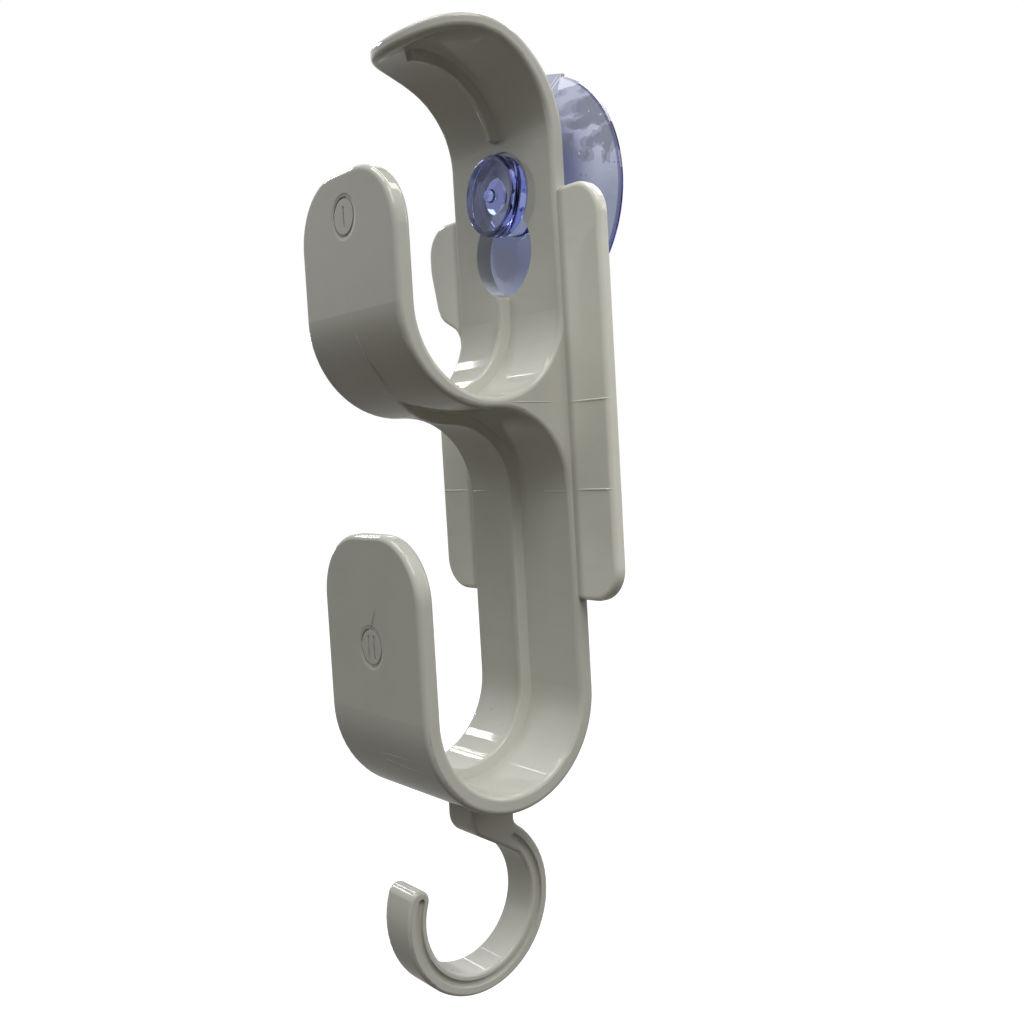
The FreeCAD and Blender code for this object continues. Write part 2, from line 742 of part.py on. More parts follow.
def check(doc, parts):
    """Stop before writing if any object failed or any part isn't one sound solid."""
    for item in doc.Objects:
        if "Invalid" in item.State or "Error" in item.State:
            raise RuntimeError("%s failed: %s" % (item.Name, item.State))
    for part in parts:
        shape = part.Shape
        if shape.isNull() or not shape.isValid() or len(shape.Solids) != 1:
            raise RuntimeError("%s isn't one valid solid" % part.Label)


def main():
    doc = FreeCAD.newDocument("hose_hanger")
    sheet = make_sheet(doc)
    s = Sizes(sheet)
    at = strip_places(s)
    parts = [make_hanger(doc, s, at), make_cup(doc, s, at)]
    doc.recompute()
    check(doc, parts)
    os.makedirs("parts", exist_ok=True)
    for part in parts:
        part.Shape.exportStep("parts/%s.step" % part.Label)
        box = part.Shape.BoundBox
        print(part.Label, "volume %.0f mm3" % part.Shape.Volume,
              "box %.1f %.1f %.1f" % (box.XLength, box.YLength, box.ZLength))


main()
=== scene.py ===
"""Hose hanger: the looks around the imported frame, in metres."""
import json
import math

import bmesh
import bpy
from mathutils import Matrix, Vector

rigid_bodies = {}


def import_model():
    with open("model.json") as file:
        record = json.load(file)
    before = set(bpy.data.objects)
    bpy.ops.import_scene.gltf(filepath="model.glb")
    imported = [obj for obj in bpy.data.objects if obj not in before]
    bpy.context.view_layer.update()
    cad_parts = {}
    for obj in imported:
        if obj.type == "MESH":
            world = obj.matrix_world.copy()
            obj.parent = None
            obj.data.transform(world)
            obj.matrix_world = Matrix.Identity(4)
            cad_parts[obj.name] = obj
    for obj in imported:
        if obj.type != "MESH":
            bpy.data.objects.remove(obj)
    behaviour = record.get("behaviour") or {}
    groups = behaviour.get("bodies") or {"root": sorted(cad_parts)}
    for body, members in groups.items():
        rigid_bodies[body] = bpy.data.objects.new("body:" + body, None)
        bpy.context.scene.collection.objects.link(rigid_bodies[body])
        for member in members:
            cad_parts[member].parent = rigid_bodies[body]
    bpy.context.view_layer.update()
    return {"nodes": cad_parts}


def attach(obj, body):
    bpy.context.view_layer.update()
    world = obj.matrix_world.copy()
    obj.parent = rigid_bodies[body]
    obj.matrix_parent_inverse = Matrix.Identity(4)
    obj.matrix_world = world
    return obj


for left_over in list(bpy.data.objects):
    bpy.data.objects.remove(left_over)

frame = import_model()

MM = 0.001

# Places on the hanger, in mm, in the frame of the CAD source.
STRIP_FRONT = -12.4
STRIP_SIDE = 18.5
STRIP_ROUND = 1.2
FLANGE_FRONT = -11.5
FLANGE_SIDE = 31.1
FLANGE_ROUND = 1.2
HOOK_FRONT = -54.6
MARK_DROPS = (-8.9, -99.1)
MARK_RADIUS = 4.2
BEND_CENTRE = -31.45
BEND_OUTSIDE = 23.15
UPPER_BEND = -28.6
LOWER_BEND = -113.5
CUP_FRONT = -7.2
# How far from the cup's axis its rim's painted shade starts and is full, and where it is thin and thick.
CUP_RIM = (27.1, 27.35)
CUP_THIN = 23.5
CUP_THICK = 15.0
# The heights between which the cup darkens downwards.
CUP_LOW = (9.0, -6.0)
# The tongue's middle, how far beside it the rim's painted dark line ends, and between which heights.
TONGUE_X = 6.3
TONGUE_SIDES = (5.4, 4.6)
TONGUE_ROOT = (23, 24)

# The camera: where it stands in mm, its turns in degrees, its lens and sensor in mm.
CAMERA_PLACE = (197.65, -174.19, -58.9)
CAMERA_YAW = 51.011
CAMERA_PITCH = 3.288
CAMERA_ROLL = 3.275
CAMERA_LENS = 38.27
CAMERA_SENSOR = 36.0
CAMERA_NEAREST = 0.01

# The point in mm that the lamps face, and how far from it they stand, in metres.
LAMP_AIM = (0, -25, -75)
WINDOW_DISTANCE = 1.7
LAMP_DISTANCE = 1.5
PANEL_DISTANCE = 1.6

# The floor, in metres.
FLOOR_HEIGHT = -0.33
FLOOR_RADIUS = 4.0
FLOOR_SIDES = 96

# The share of the white backdrop that the gloss mirrors, low down and above.
MIRRORED_LOW = 0.28
MIRRORED_HIGH = 0.9

WHITE = (1.0, 1.0, 1.0, 1.0)

# Colours of the moulding: the plastic, its clouds, its flow streaks and its specks.
BODY_TONE = (0.640, 0.640, 0.590, 1.0)
BODY_CLOUD = (0.608, 0.606, 0.550, 1.0)
BODY_STREAK = (0.56, 0.55, 0.50, 1.0)
BODY_SPECK = (0.30, 0.27, 0.20, 1.0)
# Painted light: how much lighter the flanges are painted than the strip, and how far beside it that starts
# and ends, in mm.
FLANGE_PAINTED_LIGHT = (1.50, 1.50, 1.50, 1.0)
FLANGE_PAINTED_LIGHT_FROM = (0.3, 2.6)

# The moulding's fine detail: noise scales in waves a metre, along x, y and z where there are three.
CLOUD_SCALE = 38.0
STREAK_SCALE = (60.0, 420.0, 420.0)
SPECK_SCALE = 170.0
SATIN_SCALE = 120.0
WAVE_SCALE = (14.0, 130.0, 130.0)
GRAIN_SCALE = 900.0
# Where the clouds' noise turns from one colour to the other, for the moulding and the cup.
CLOUD_TURN = (0.35, 0.7)
# Where the streaks start and are strongest, and how strong they are.
STREAK_TURN = (0.55, 0.8)
STREAK_STRENGTH = 0.22
# A speck's radius inside and outside as shares of its cell, the share of cells that have none,
# and how strong a speck is.
SPECK_EDGE = (0.028, 0.05)
SPECK_RARE = 0.93
SPECK_STRENGTH = 0.6
# Roughness at the glossiest and the dullest places.
SATIN_TURN = (0.3, 0.75)
BODY_ROUGHNESS = (0.035, 0.075)
BODY_IOR = 1.47
BODY_SPECULAR = 0.45
# How much the grain and the streaks raise the surface beside the waves, and the waves' height in mm.
GRAIN_SHARE = 0.012
STREAK_SHARE = 0.03
WAVE_HEIGHT = 0.04
WAVE_STRENGTH = 0.5
# The rings' soft edges: from and to this far beside the middle of the ring, and their depth, in mm.
RING_EDGE = (0.1, 0.75)
RING_DEPTH = 0.11

# Tints of the cup: clear, clouded, thick, low down, damp, painted shade at the rim, and in a dark speck.
CUP_TONE = (0.50, 0.53, 0.62, 1.0)
CUP_CLOUD = (0.43, 0.455, 0.55, 1.0)
CUP_THICK_TONE = (0.085, 0.10, 0.19, 1.0)
CUP_LOW_TONE = (0.17, 0.195, 0.26, 1.0)
CUP_DAMP_TONE = (0.165, 0.17, 0.21, 1.0)
CUP_RIM_PAINTED_SHADE = (0.04, 0.04, 0.16, 1.0)
CUP_SPECK_TONE = (0.06, 0.06, 0.10, 1.0)
CUP_SOAK = (0.34, 0.42, 0.90, 1.0)
CUP_SOAK_DENSITY = 95.0
CUP_IOR = 1.42
# Roughness where the cup is dry and where it is damp, and its slow ripple's height in mm.
CUP_ROUGHNESS = (0.03, 0.12)
CUP_CLOUD_SCALE = 110.0
RIPPLE_SCALE = 150.0
RIPPLE_HEIGHT = 0.1
RIPPLE_STRENGTH = 0.35
# How much light a painted glint still lets through.
GLINT_CLEAR = 0.3

# The light on the hanger from below and from above, the floor's colour for what it throws back at
# the hanger, and its colour and glow for the eye.
LIGHT_BELOW = (0.060, 0.050, 0.030, 1.0)
LIGHT_ABOVE = (0.74, 0.755, 0.75, 1.0)
FLOOR_BOUNCE = (0.055, 0.045, 0.030, 1.0)
FLOOR_SHADE = (0.30, 0.30, 0.30, 1.0)
FLOOR_GLOW = 0.90

# Damp patches between the cup and the wall: middle x and z, half width and half height, in mm.
PATCHES = (
    (15.6, 17.0, 3.4, 1.7), (18.6, 16.4, 2.8, 2.2), (20.9, 14.2, 2.4, 1.9), (22.9, 12.4, 1.4, 1.2),
    (18.4, 12.6, 3.2, 1.5), (15.6, 13.6, 2.4, 1.2), (13.0, 16.2, 1.6, 0.9), (17.4, 20.6, 1.1, 0.9),
    (24.4, 9.6, 2.0, 1.7), (22.4, 8.7, 1.9, 1.5), (20.6, 7.7, 1.5, 1.4), (25.0, 6.9, 1.5, 1.9),
    (24.3, 4.6, 0.7, 1.7), (19.9, 5.2, 1.3, 1.6), (15.1, 9.3, 1.7, 1.7), (15.4, 7.2, 1.5, 1.2),
    (16.7, 5.7, 0.5, 0.9), (11.3, 20.9, 1.3, 0.9), (5.0, 19.0, 4.5, 3.0), (-14.0, 9.0, 6.0, 5.0),
    (-9.0, -14.0, 5.5, 4.0), (8.0, -17.0, 6.0, 3.6),
)
# The fainter ones, by their place in that list, and how strong they are.
FAINT_PATCHES = (0, 5, 6, 7, 17)
FAINT = 0.6
# How far the patches' ragged edges wander, in mm, how fine they are, and how sharp.
PATCH_WANDER = 2.6
PATCH_WANDER_SCALE = 520.0
PATCH_EDGE = (0.9, 1.08)

# Painted glints as small bright spots on the cup, and small dark specks on its skin: x, z and radius, in
# mm.
PAINTED_GLINTS = ((20.24, 14.9, 0.24), (23.03, 13.6, 0.28), (18.9, 5.7, 0.26), (25.6, 1.0, 0.14),
                (10.75, 26.4, 1.0))
DARK_SPECKS = ((26.6, 2.4, 0.20), (19.2, 0.9, 0.22), (21.0, 4.0, 0.14))

# Painted highlights along the creases where the tongue bends: start and end as x and z, and half width, in
# mm.
CREASE_HIGHLIGHTS = (((10.7, 26.2), (8.0, 21.3), 0.30), ((9.4, 26.4), (7.6, 23.0), 0.18))
# How soft the highlights are at their sides, and where along them they start fully and begin to fade.
CREASE_HIGHLIGHT_SOFT = 0.3
CREASE_HIGHLIGHT_FULL = (0.1, 0.7)

# A raised line's cross-section as shares of its width and height, how deep its foot lies in the
# moulding in mm, how high its ends are and how fast they rise.
LINE_SECTION = ((-0.5, 0.0), (-0.32, 0.62), (0.0, 1.0), (0.32, 0.62), (0.5, 0.0))
LINE_SINK = 0.06
LINE_END = 0.25
LINE_RISE = 2.5

# Width and height of the raised lines, in mm.
FLANGE_LINE = (0.55, 0.22)
STRIP_LINE = (0.42, 0.15)
SIDE_LINE = (0.40, 0.16)
MARK_LINE = (0.5, 0.28)
UPPER_HOOK_LINE = (0.6, 0.14)
UNDER_LINES = ((0.4, 0.10), (0.5, 0.14))

# Where the lines run on the hooks' bends: x in mm and degrees below the front.
UPPER_HOOK_PLACES = ((0.3, 4), (1.1, 14), (1.9, 24), (2.6, 34), (2.0, 44), (0.9, 52))
UNDER_UPPER_PLACES = ((-4.2, 25.3), (-2.4, 23.3), (1.5, 22.2), (5.8, 22.0), (10.2, 22.0), (14.6, 22.0))
UNDER_LOWER_PLACES = ((-4.2, 25.3), (-2.0, 25.6), (0.5, 26.7), (4.0, 27.5), (7.8, 28.1), (12.0, 28.9),
                      (16.6, 29.5))


def mm(x, y, z):
    """A point in mm as a vector in metres."""
    return Vector((x * MM, y * MM, z * MM))


class Nodes:
    """Short calls to build one node tree."""

    def __init__(self, tree):
        self.tree = tree
        tree.nodes.clear()

    def add(self, kind, inputs=None, **settings):
        """A new node with these settings, its inputs set or linked by name."""
        node = self.tree.nodes.new(kind)
        for name, value in settings.items():
            setattr(node, name, value)
        for name, value in (inputs or {}).items():
            self.put(node.inputs[name], value)
        return node

    def put(self, socket, value):
        """Link an output to a socket, or set the socket to a plain value."""
        if isinstance(value, bpy.types.NodeSocket):
            self.tree.links.new(value, socket)
        else:
            socket.default_value = value

    def math(self, operation, first, second=0.0):
        node = self.add("ShaderNodeMath", operation=operation)
        self.put(node.inputs[0], first)
        self.put(node.inputs[1], second)
        return node.outputs[0]

    def fold(self, operation, values):
        """One value out of several, by the same operation on each next one."""
        found = values[0]
        for value in values[1:]:
            found = self.math(operation, found, value)
        return found

    def vector(self, operation, first, second=(0.0, 0.0, 0.0)):
        node = self.add("ShaderNodeVectorMath", operation=operation)
        self.put(node.inputs[0], first)
        self.put(node.inputs[1], second)
        return node.outputs["Value"] if operation in ("LENGTH", "DOT_PRODUCT") else node.outputs["Vector"]

    def ramp(self, value, low, high, to_low=0.0, to_high=1.0):
        """A smooth step from one value to another between low and high."""
        node = self.add("ShaderNodeMapRange", interpolation_type="SMOOTHSTEP")
        for name, number in (("Value", value), ("From Min", low), ("From Max", high),
                             ("To Min", to_low), ("To Max", to_high)):
            self.put(node.inputs[name], number)
        return node.outputs["Result"]

    def mix(self, factor, first, second, blend="MIX"):
        node = self.add("ShaderNodeMix", data_type="RGBA", blend_type=blend)
        self.put(node.inputs["Factor"], factor)
        self.put(node.inputs["A"], first)
        self.put(node.inputs["B"], second)
        return node.outputs["Result"]

    def noise(self, where, scale, detail=2.0, rough=0.5, output="Fac"):
        node = self.add("ShaderNodeTexNoise", {"Vector": where, "Scale": scale, "Detail": detail,
                                               "Roughness": rough})
        return node.outputs[output]

    def from_axis(self, where, x, z):
        """How far a point is from the line along Y through x and z in mm."""
        offset = self.vector("SUBTRACT", where, (x * MM, 0.0, z * MM))
        return self.vector("LENGTH", self.vector("MULTIPLY", offset, (1.0, 0.0, 1.0)))


def new_material(name):
    """A material and its emptied node tree."""
    material = bpy.data.materials.new(name)
    material.use_nodes = True
    return material, Nodes(material.node_tree)


def moulded_tone(n, where, place, streak):
    """The moulding's colour: clouds, flow streaks, a few specks, and painted light that makes the flanges
    lighter.
    """
    cloud = n.ramp(n.noise(where, CLOUD_SCALE, 3.0), *CLOUD_TURN)
    tone = n.mix(cloud, BODY_TONE, BODY_CLOUD)
    tone = n.mix(n.ramp(streak, *STREAK_TURN, 0.0, STREAK_STRENGTH), tone, BODY_STREAK)

    cells = n.add("ShaderNodeTexVoronoi", {"Vector": where, "Scale": SPECK_SCALE, "Randomness": 1.0})
    near = n.ramp(cells.outputs["Distance"], *SPECK_EDGE, 1.0, 0.0)
    chosen = n.add("ShaderNodeSeparateColor", {"Color": cells.outputs["Color"]}).outputs["Red"]
    speck = n.math("MULTIPLY", near, n.math("GREATER_THAN", chosen, SPECK_RARE))
    tone = n.mix(n.math("MULTIPLY", speck, SPECK_STRENGTH), tone, BODY_SPECK)

    # painted light: the flanges' colour is multiplied lighter beside the strip
    from_middle = n.math("ABSOLUTE", place["X"])
    start, end = ((STRIP_SIDE + beside) * MM for beside in FLANGE_PAINTED_LIGHT_FROM)
    return n.mix(n.ramp(from_middle, start, end), tone, FLANGE_PAINTED_LIGHT, "MULTIPLY")


def moulded_bump(n, where, place, streak):
    """Slow waves and a fine grain, and soft edges on the sunk rings round the marks."""
    wave = n.noise(n.vector("MULTIPLY", where, WAVE_SCALE), 1.0, 1.0)
    height = n.math("ADD", wave, n.math("MULTIPLY", n.noise(where, GRAIN_SCALE), GRAIN_SHARE))
    height = n.math("ADD", height, n.math("MULTIPLY", streak, STREAK_SHARE))
    bump = n.add("ShaderNodeBump", {"Height": height, "Strength": WAVE_STRENGTH,
                                    "Distance": WAVE_HEIGHT * MM})

    rings = []
    for drop in MARK_DROPS:
        off = n.math("SUBTRACT", n.from_axis(where, 0.0, drop), MARK_RADIUS * MM)
        rings.append(n.ramp(n.math("ABSOLUTE", off), RING_EDGE[0] * MM, RING_EDGE[1] * MM))
    on_front = n.math("LESS_THAN", place["Y"], (HOOK_FRONT + 0.6) * MM)
    dent = n.math("MAXIMUM", n.fold("MINIMUM", rings), n.math("SUBTRACT", 1.0, on_front))
    bump = n.add("ShaderNodeBump", {"Height": dent, "Strength": 1.0, "Distance": RING_DEPTH * MM,
                                    "Normal": bump.outputs["Normal"]})
    return bump.outputs["Normal"]


def make_plastic():
    """Off-white glossy moulding with faint flow streaks, clouding and specks."""
    material, n = new_material("hanger_plastic")
    where = n.add("ShaderNodeTexCoord").outputs["Object"]
    place = n.add("ShaderNodeSeparateXYZ", {"Vector": where}).outputs
    streak = n.noise(n.vector("MULTIPLY", where, STREAK_SCALE), 1.0)
    satin = n.noise(where, SATIN_SCALE, 4.0, 0.6)
    shader = n.add("ShaderNodeBsdfPrincipled", {
        "Base Color": moulded_tone(n, where, place, streak),
        "Roughness": n.ramp(satin, *SATIN_TURN, *BODY_ROUGHNESS),
        "IOR": BODY_IOR, "Specular IOR Level": BODY_SPECULAR,
        "Normal": moulded_bump(n, where, place, streak)})
    out = n.add("ShaderNodeOutputMaterial")
    n.put(out.inputs["Surface"], shader.outputs["BSDF"])
    return material


def spots(n, where, places, soft):
    """1 inside any of the round spots (x, z, radius) on the cup, 0 outside."""
    return n.fold("MAXIMUM", [
        n.ramp(n.from_axis(where, x, z), radius * soft * MM, radius * MM, 1.0, 0.0)
        for x, z, radius in places])


def strokes(n, where, places):
    """1 along any of the straight strokes on the cup, 0 beside them."""
    found = []
    for start, end, half_width in places:
        along = Vector((end[0] - start[0], 0.0, end[1] - start[1]))
        length = along.length * MM
        along.normalize()
        beside = Vector((along.z, 0.0, -along.x))
        offset = n.vector("SUBTRACT", where, (start[0] * MM, 0.0, start[1] * MM))
        across = n.math("ABSOLUTE", n.vector("DOT_PRODUCT", offset, tuple(beside)))
        down = n.vector("DOT_PRODUCT", offset, tuple(along))
        ends = n.math("MULTIPLY", n.ramp(down, 0.0, CREASE_HIGHLIGHT_FULL[0] * length),
                      n.ramp(down, CREASE_HIGHLIGHT_FULL[1] * length, length, 1.0, 0.0))
        inside = n.ramp(across, half_width * CREASE_HIGHLIGHT_SOFT * MM, half_width * MM, 1.0, 0.0)
        found.append(n.math("MULTIPLY", inside, ends))
    return n.fold("MAXIMUM", found)


def damp_patches(n, where):
    """How damp the wall is behind the cup, with ragged edges."""
    spread = n.noise(where, PATCH_WANDER_SCALE, output="Color")
    shift = n.vector("SUBTRACT", spread, (0.5, 0.5, 0.5))
    bent = n.vector("ADD", where, n.vector("MULTIPLY", shift, (PATCH_WANDER * MM, 0.0, PATCH_WANDER * MM)))
    found = []
    for index, (x, z, half_width, half_height) in enumerate(PATCHES):
        offset = n.vector("SUBTRACT", bent, (x * MM, 0.0, z * MM))
        scaled = n.vector("MULTIPLY", offset, (1 / (half_width * MM), 0.0, 1 / (half_height * MM)))
        strength = FAINT if index in FAINT_PATCHES else 1.0
        found.append(n.ramp(n.vector("LENGTH", scaled), *PATCH_EDGE, strength, 0.0))
    return n.fold("MAXIMUM", found)


def painted_rim_shade(n, place, reach):
    """1 on the cup's rim, where shade is painted for its darkness edge on, 0 elsewhere and on the tongue.
    """
    rim = n.ramp(reach, CUP_RIM[0] * MM, CUP_RIM[1] * MM)
    from_tongue = n.math("ABSOLUTE", n.math("SUBTRACT", place["X"], TONGUE_X * MM))
    on_tongue = n.math("MULTIPLY", n.ramp(from_tongue, TONGUE_SIDES[0] * MM, TONGUE_SIDES[1] * MM),
                       n.ramp(place["Z"], TONGUE_ROOT[0] * MM, TONGUE_ROOT[1] * MM))
    return n.math("MULTIPLY", rim, n.math("SUBTRACT", 1.0, on_tongue))


def make_cup_plastic():
    """Clear soft plastic, tinted blue violet, with damp patches where it touches the wall."""
    material, n = new_material("cup_plastic")
    where = n.add("ShaderNodeTexCoord").outputs["Object"]
    place = n.add("ShaderNodeSeparateXYZ", {"Vector": where}).outputs
    on_cup = n.math("GREATER_THAN", place["Y"], CUP_FRONT * MM)
    reach = n.from_axis(where, 0.0, 0.0)
    damp = n.math("MULTIPLY", damp_patches(n, where), on_cup)
    dark = spots(n, where, DARK_SPECKS, 0.6)
    # painted highlights: the glint spots and the crease lines, which turn white and less clear
    painted_glints = n.math("MAXIMUM", spots(n, where, PAINTED_GLINTS, 0.5), strokes(n, where, CREASE_HIGHLIGHTS))
    painted_glints = n.math("MULTIPLY", painted_glints, on_cup)

    tint = n.mix(n.ramp(n.noise(where, CUP_CLOUD_SCALE), *CLOUD_TURN), CUP_TONE, CUP_CLOUD)
    # where each next tint lies on the cup, how strong it is there, and its colour; the cup is
    # thicker and so darker towards its middle
    for mask, share, tone in (
            (n.ramp(reach, CUP_THIN * MM, CUP_THICK * MM), 0.9, CUP_THICK_TONE),
            (n.ramp(place["Z"], CUP_LOW[0] * MM, CUP_LOW[1] * MM), 0.62, CUP_LOW_TONE),
            (damp, 0.8, CUP_DAMP_TONE),
            # painted shade: the rim darkened as if seen edge on
            (painted_rim_shade(n, place, reach), 0.9, CUP_RIM_PAINTED_SHADE),
            (dark, 1.0, CUP_SPECK_TONE)):
        factor = n.math("MULTIPLY", n.math("MULTIPLY", mask, on_cup), share)
        tint = n.mix(factor, tint, tone)
    # painted highlights: white where the glints and crease lines lie
    tint = n.mix(painted_glints, tint, WHITE)

    bump = n.add("ShaderNodeBump", {"Height": n.noise(where, RIPPLE_SCALE), "Strength": RIPPLE_STRENGTH,
                                    "Distance": RIPPLE_HEIGHT * MM})
    shader = n.add("ShaderNodeBsdfPrincipled", {
        "Base Color": tint, "Roughness": n.ramp(damp, 0.0, 1.0, *CUP_ROUGHNESS), "IOR": CUP_IOR,
        "Transmission Weight": n.ramp(painted_glints, 0.0, 1.0, 1.0, GLINT_CLEAR),
        "Normal": bump.outputs["Normal"]})
    soak = n.add("ShaderNodeVolumeAbsorption", {"Color": CUP_SOAK, "Density": CUP_SOAK_DENSITY})
    out = n.add("ShaderNodeOutputMaterial")
    n.put(out.inputs["Surface"], shader.outputs["BSDF"])
    n.put(out.inputs["Volume"], soak.outputs["Volume"])
    return material


def raised_line(name, path, size, material):
    """A low rounded ridge along a path of (point, normal) pairs in mm, tapered at both ends."""
    width, height = size
    mesh = bpy.data.meshes.new(name)
    build = bmesh.new()
    rows = []
    last = len(path) - 1
    for index, (point, normal) in enumerate(path):
        ahead = path[min(index + 1, last)][0]
        behind = path[max(index - 1, 0)][0]
        along = (Vector(ahead) - Vector(behind)).normalized()
        up = Vector(normal).normalized()
        side = along.cross(up).normalized()
        taper = min(1.0, LINE_END + LINE_RISE * min(index, last - index) / len(path))
        row = []
        for across, rise in LINE_SECTION:
            place = (Vector(point) + side * (across * width * taper)
                     + up * (rise * height * taper - LINE_SINK))
            row.append(build.verts.new(place * MM))
        rows.append(row)
    for first, second in zip(rows, rows[1:]):
        for a, b, c, d in zip(first, first[1:], second[1:], second):
            build.faces.new((a, b, c, d))
        build.faces.new((first[-1], first[0], second[0], second[-1]))
    build.faces.new(rows[0])
    build.faces.new(list(reversed(rows[-1])))
    bmesh.ops.recalc_face_normals(build, faces=build.faces)
    build.to_mesh(mesh)
    build.free()
    for face in mesh.polygons:
        face.use_smooth = True
    piece = bpy.data.objects.new(name, mesh)
    bpy.context.collection.objects.link(piece)
    mesh.materials.append(material)
    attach(piece, "root")


def straight(start, end, normal, count=24):
    """Evenly spaced (point, normal) pairs from start to end."""
    steps = [i / (count - 1) for i in range(count)]
    return [([a + (b - a) * t for a, b in zip(start, end)], normal) for t in steps]


def round_corner(side, z, reach, front, radius, turns=8):
    """Pairs round an upright rounded edge, from the front face to the side face."""
    pairs = []
    for step in range(turns + 1):
        angle = math.pi / 2 * step / turns
        normal = (side * math.sin(angle), -math.cos(angle), 0.0)
        middle = (side * (reach - radius), front + radius, z)
        pairs.append(([c + radius * n for c, n in zip(middle, normal)], normal))
    return pairs


def on_bend(height, places):
    """Pairs on the outside of a hook's bend, from (x, degrees below the front) places."""
    pairs = []
    for x, below in places:
        angle = math.radians(below)
        normal = (0.0, -math.cos(angle), -math.sin(angle))
        point = (x, BEND_CENTRE + BEND_OUTSIDE * normal[1], height + BEND_OUTSIDE * normal[2])
        pairs.append((point, normal))
    return pairs


def make_relief(plastic):
    """The faint parting and flow lines that stand proud of the moulding."""
    front = (0.0, -1.0, 0.0)
    for name, side, z in (("parting_line_upper_right", 1, -49.2),
                          ("parting_line_lower_right", 1, -68.6),
                          ("parting_line_lower_left", -1, -68.5)):
        path = straight((side * (STRIP_SIDE - 0.1), FLANGE_FRONT, z),
                        (side * (FLANGE_SIDE - FLANGE_ROUND), FLANGE_FRONT, z), front)
        path += round_corner(side, z, FLANGE_SIDE, FLANGE_FRONT, FLANGE_ROUND)
        raised_line(name, path, FLANGE_LINE, plastic)
    for name, side, z, end in (("parting_line_strip_left", -1, -68.6, 10.6),
                               ("parting_line_strip_right", 1, -68.9, 7.0)):
        path = straight((side * end, STRIP_FRONT, z),
                        (side * (STRIP_SIDE - STRIP_ROUND), STRIP_FRONT, z), front)
        # the line ends half way round the edge
        path += round_corner(side, z, STRIP_SIDE, STRIP_FRONT, STRIP_ROUND)[:5]
        raised_line(name, path, STRIP_LINE, plastic)
    path = straight((STRIP_SIDE, -30.5, -48.9), (STRIP_SIDE, -13.4, -49.1), (1.0, 0.0, 0.0))
    raised_line("parting_line_side", path, SIDE_LINE, plastic)

    path = straight((2.5, HOOK_FRONT, -90.2), (0.35, HOOK_FRONT, MARK_DROPS[1] + MARK_RADIUS), front, 12)
    raised_line("flow_line_lower_mark", path, MARK_LINE, plastic)
    path = straight((0.4, HOOK_FRONT, -21.7), (0.2, HOOK_FRONT, UPPER_BEND), front, 8)
    path += on_bend(UPPER_BEND, UPPER_HOOK_PLACES)
    raised_line("flow_line_upper_hook", path, UPPER_HOOK_LINE, plastic)
    raised_line("flow_line_under_upper", on_bend(LOWER_BEND, UNDER_UPPER_PLACES), UNDER_LINES[0], plastic)
    raised_line("flow_line_under_lower", on_bend(LOWER_BEND, UNDER_LOWER_PLACES), UNDER_LINES[1], plastic)


def make_floor():
    """A pale disc well below the hanger, white to the eye and with the hanger's soft shadow."""
    mesh = bpy.data.meshes.new("floor")
    build = bmesh.new()
    bmesh.ops.create_circle(build, cap_ends=True, segments=FLOOR_SIDES, radius=FLOOR_RADIUS)
    build.to_mesh(mesh)
    build.free()
    floor = bpy.data.objects.new("floor", mesh)
    floor.location = (0.0, 0.0, FLOOR_HEIGHT)
    bpy.context.collection.objects.link(floor)

    material, n = new_material("floor_pale")
    path = n.add("ShaderNodeLightPath").outputs
    mirrored = n.math("MULTIPLY", path["Is Glossy Ray"], MIRRORED_LOW)
    seen = n.fold("MAXIMUM", [path["Is Camera Ray"], mirrored, path["Is Transmission Ray"]])
    shade = n.add("ShaderNodeBsdfDiffuse", {"Color": FLOOR_SHADE})
    glow = n.add("ShaderNodeEmission", {"Color": WHITE, "Strength": FLOOR_GLOW})
    white = n.add("ShaderNodeAddShader")
    n.put(white.inputs[0], shade.outputs[0])
    n.put(white.inputs[1], glow.outputs[0])
    bounce = n.add("ShaderNodeBsdfDiffuse", {"Color": FLOOR_BOUNCE})
    split = n.add("ShaderNodeMixShader", {"Fac": seen})
    n.put(split.inputs[1], bounce.outputs[0])
    n.put(split.inputs[2], white.outputs[0])
    # from below the floor lets the hanger be seen
    clear = n.add("ShaderNodeBsdfTransparent")
    behind = n.add("ShaderNodeNewGeometry").outputs["Backfacing"]
    one_sided = n.add("ShaderNodeMixShader", {"Fac": behind})
    n.put(one_sided.inputs[1], split.outputs[0])
    n.put(one_sided.inputs[2], clear.outputs[0])
    out = n.add("ShaderNodeOutputMaterial")
    n.put(out.inputs["Surface"], one_sided.outputs[0])
    mesh.materials.append(material)


def make_world():
    """Soft light, brighter from above than from below, in front of a white backdrop."""
    world = bpy.data.worlds.new("studio")
    bpy.context.scene.world = world
    world.use_nodes = True
    n = Nodes(world.node_tree)
    path = n.add("ShaderNodeLightPath").outputs
    toward = n.add("ShaderNodeTexCoord").outputs["Generated"]
    height = n.add("ShaderNodeSeparateXYZ", {"Vector": toward}).outputs["Z"]
    share = n.ramp(height, -0.02, 0.22, MIRRORED_LOW, MIRRORED_HIGH)
    mirrored = n.math("MULTIPLY", path["Is Glossy Ray"], share)
    seen = n.fold("MAXIMUM", [path["Is Camera Ray"], mirrored, path["Is Transmission Ray"]])
    tone = n.mix(n.ramp(height, -0.1, 0.9), LIGHT_BELOW, LIGHT_ABOVE)
    soft = n.add("ShaderNodeBackground", {"Color": tone, "Strength": 1.0})
    white = n.add("ShaderNodeBackground", {"Color": WHITE, "Strength": 1.0})
    split = n.add("ShaderNodeMixShader", {"Fac": seen})
    n.put(split.inputs[1], soft.outputs[0])
    n.put(split.inputs[2], white.outputs[0])
    out = n.add("ShaderNodeOutputWorld")
    n.put(out.inputs["Surface"], split.outputs[0])


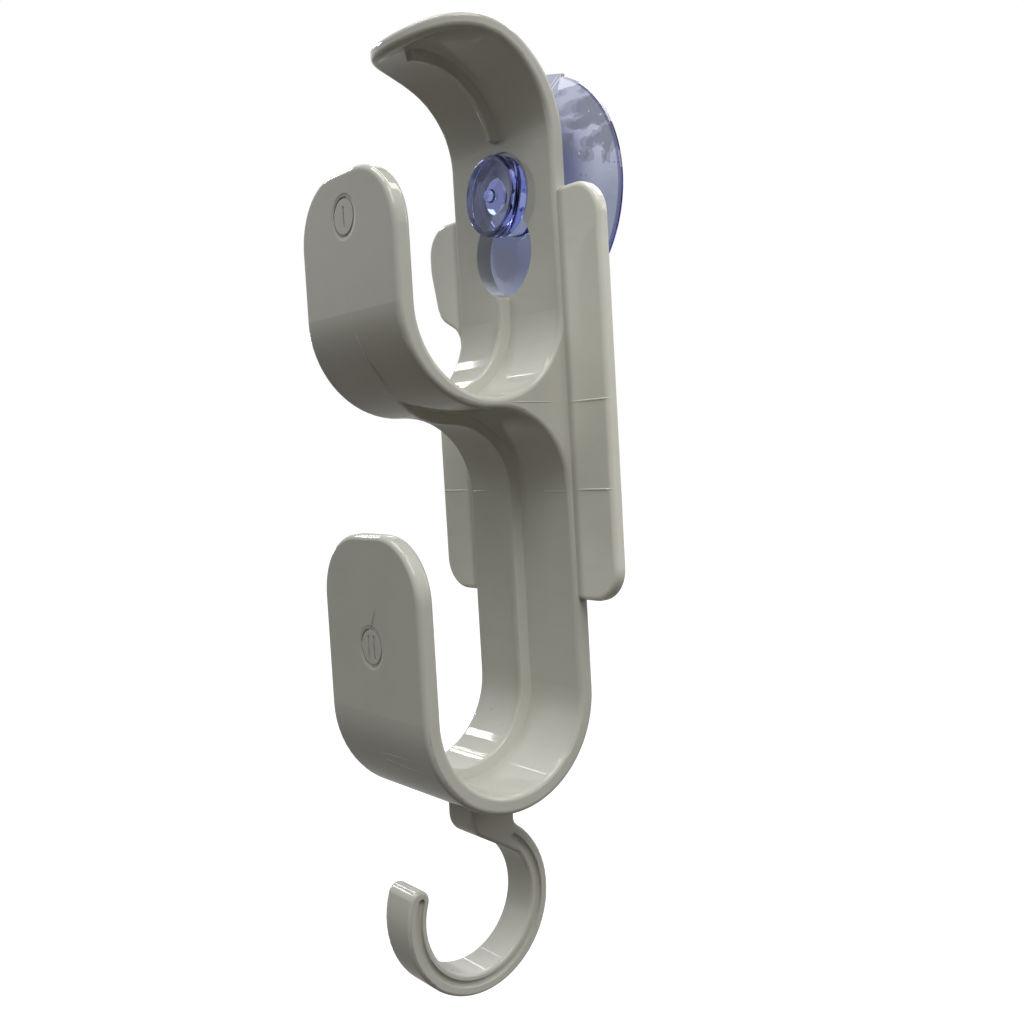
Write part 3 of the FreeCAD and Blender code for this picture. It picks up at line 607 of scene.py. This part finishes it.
def area_light(name, toward, distance, size, radiance, tint=(1.0, 1.0, 1.0)):
    """A rectangular lamp that faces the hanger; its first side lies in the plane of its direction and X.

    Its size is a share of its distance.
    """
    lamp = bpy.data.lights.new(name, "AREA")
    lamp.shape = "RECTANGLE"
    lamp.size, lamp.size_y = (side * distance for side in size)
    lamp.energy = radiance * math.pi * lamp.size * lamp.size_y
    lamp.color = tint
    holder = bpy.data.objects.new(name, lamp)
    back = Vector(toward).normalized()
    along = (Vector((1.0, 0.0, 0.0)) - back * back.x).normalized()
    turn = Matrix((along, back.cross(along), back)).transposed()
    holder.matrix_world = Matrix.Translation(mm(*LAMP_AIM) + back * distance) @ turn.to_4x4()
    holder.visible_camera = False
    bpy.context.collection.objects.link(holder)
    return holder


def round_x(cosine_x, sweep):
    """The direction with this x, at so many degrees from -Y towards +Z and +Y around the X axis."""
    rest = math.sqrt(1 - cosine_x ** 2)
    angle = math.radians(sweep)
    return (cosine_x, -rest * math.cos(angle), rest * math.sin(angle))


def make_lights():
    """Windows on the left that the bends mirror, and soft lamps above on the right and behind.

    Each row is a name, a direction, the size as shares of the distance, and the radiance.
    """
    for name, cosine_x, sweep, size, radiance in (
            ("window_wide", -0.825, 69, (0.13, 0.12), 15),
            ("window_low", -0.825, 108, (0.13, 0.045), 15),
            ("window_slit_a", -0.825, 99.0, (0.13, 0.010), 15),
            ("window_slit_b", -0.825, 102.0, (0.13, 0.012), 15),
            ("slit_right_a", -0.745, 101, (0.06, 0.012), 9),
            ("slit_right_b", -0.755, 142, (0.05, 0.016), 9)):
        area_light(name, round_x(cosine_x, sweep), WINDOW_DISTANCE, size, radiance)
    area_light("lamp_above", (0.52, -0.13, 0.84), LAMP_DISTANCE, (0.55, 0.55), 5.0, (1.0, 0.98, 0.93))
    # two panels that only the gloss shows
    for name, toward, size, radiance in (
            ("panel_above", (-0.18, -0.24, 0.95), (0.60, 0.40), 6),
            ("panel_behind", (-0.15, 0.50, 0.85), (0.80, 0.60), 6)):
        area_light(name, toward, PANEL_DISTANCE, size, radiance).visible_diffuse = False
    area_light("window_left", (-0.98, 0.02, 0.06), PANEL_DISTANCE, (0.06, 0.06), 20)
    area_light("lamp_behind", (0.5, 0.8, 0.4), PANEL_DISTANCE, (0.4, 0.3), 3.0)


def make_camera():
    """The camera at the photograph's place, angle and lens."""
    yaw, pitch, roll = (math.radians(v) for v in (CAMERA_YAW, CAMERA_PITCH, CAMERA_ROLL))
    forward = Vector((-math.sin(yaw) * math.cos(pitch), math.cos(yaw) * math.cos(pitch), -math.sin(pitch)))
    level = Vector((math.cos(yaw), math.sin(yaw), 0.0))
    down = forward.cross(level)
    right = math.cos(roll) * level + math.sin(roll) * down
    below = -math.sin(roll) * level + math.cos(roll) * down
    lens = bpy.data.cameras.new("camera")
    lens.lens = CAMERA_LENS
    lens.sensor_width = CAMERA_SENSOR
    lens.clip_start = CAMERA_NEAREST
    camera = bpy.data.objects.new("camera", lens)
    turn = Matrix((right, -below, -forward)).transposed()
    camera.matrix_world = Matrix.Translation(mm(*CAMERA_PLACE)) @ turn.to_4x4()
    bpy.context.collection.objects.link(camera)
    bpy.context.scene.camera = camera


plastic = make_plastic()
cup_plastic = make_cup_plastic()
frame["nodes"]["hanger_body"].material_slots[0].material = plastic
frame["nodes"]["suction_cup"].material_slots[0].material = cup_plastic
make_relief(plastic)
make_floor()
make_world()
make_lights()
make_camera()
bpy.context.scene.view_settings.view_transform = "Standard"
